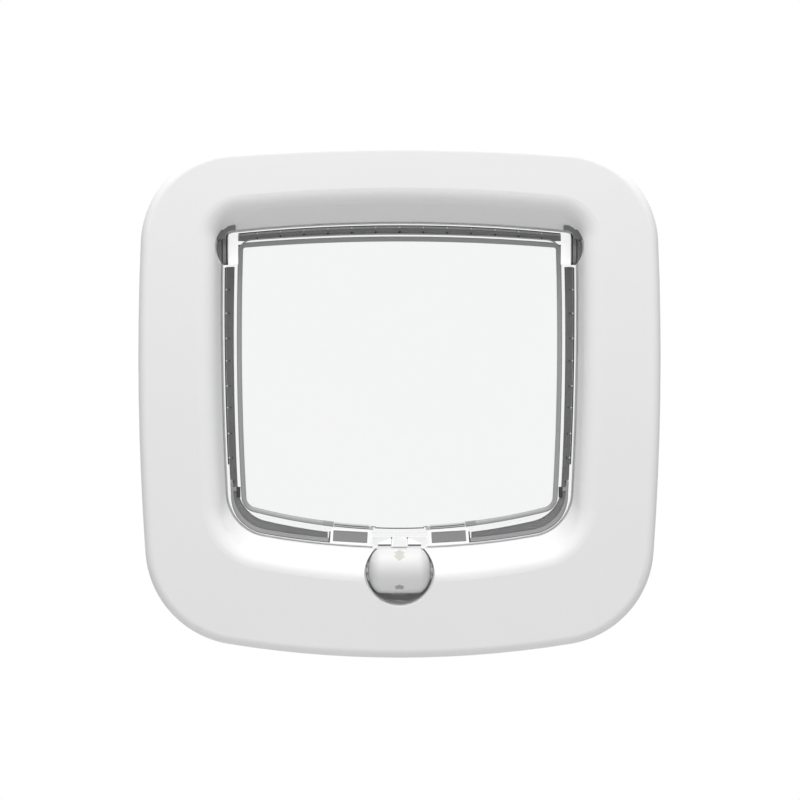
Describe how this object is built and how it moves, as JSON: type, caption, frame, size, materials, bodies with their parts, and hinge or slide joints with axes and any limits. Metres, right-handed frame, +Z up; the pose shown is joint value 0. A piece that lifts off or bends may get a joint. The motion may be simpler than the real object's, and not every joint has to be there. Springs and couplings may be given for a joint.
{
  "type": "cat flap",
  "caption": "Square cat flap with rounded corners: a scooped white frame, a clear swinging flap with grey seals and a thumb barrel lock below it.",
  "frame": {"origin": "centre of the frame's outline on the door's inside face", "axes": "+X to the right seen from the room, +Y through the door to the outside, +Z up"},
  "size_m": [0.2242, 0.065, 0.2207],
  "materials": {
    "white_plastic": "satin moulded plastic",
    "clear_plastic": "clear moulded plastic",
    "grey_plastic": "dark grey moulded plastic",
    "seal_pile": "grey pile on a flexible backing",
    "magnet": "plated magnet",
    "steel": "zinc-plated steel"
  },
  "bodies": {
    "frame": {"inner_bezel": "white_plastic", "inner_frame": "white_plastic", "outer_frame": "white_plastic", "slide_cover": "white_plastic", "hinge_bush_left": "grey_plastic", "hinge_bush_right": "grey_plastic", "hinge_pin_left": "steel", "hinge_pin_right": "steel", "sill_magnet_left": "magnet", "sill_magnet_right": "magnet", "lock_screws": "steel", "fixing_screws": "steel", "detent_leaf": "steel"},
    "flap": {"flap": "clear_plastic", "flap_magnet_left": "magnet", "flap_magnet_right": "magnet", "seal_strip_top": "seal_pile", "seal_strip_left": "seal_pile", "seal_strip_right": "seal_pile", "seal_strip_lower_left": "seal_pile", "seal_strip_lower_right": "seal_pile"},
    "barrel": {"lock_barrel": "white_plastic", "lock_shaft": "white_plastic"},
    "slide": {"lock_slide": "white_plastic"}
  },
  "joints": [
    {"name": "flap_swing", "type": "hinge", "parent": "frame", "child": "flap", "pos_m": [0, 0.0105, 0.066], "axis": [1, 0, 0], "range_deg": [-90, 90]},
    {"name": "lock_turn", "type": "hinge", "parent": "frame", "child": "barrel", "pos_m": [0, -0.005, -0.0733], "axis": [-1, 0, 0], "range_deg": [0, 270], "deforming": ["detent_leaf"]},
    {"name": "lock_slide_travel", "type": "slide", "parent": "frame", "child": "slide", "axis": [1, 0, 0], "range_m": [0, 0.0096]}
  ],
  "couplings": [
    {"joint": "lock_slide_travel", "follows": "lock_turn", "m_per_rad": 0.0020372}
  ]
}
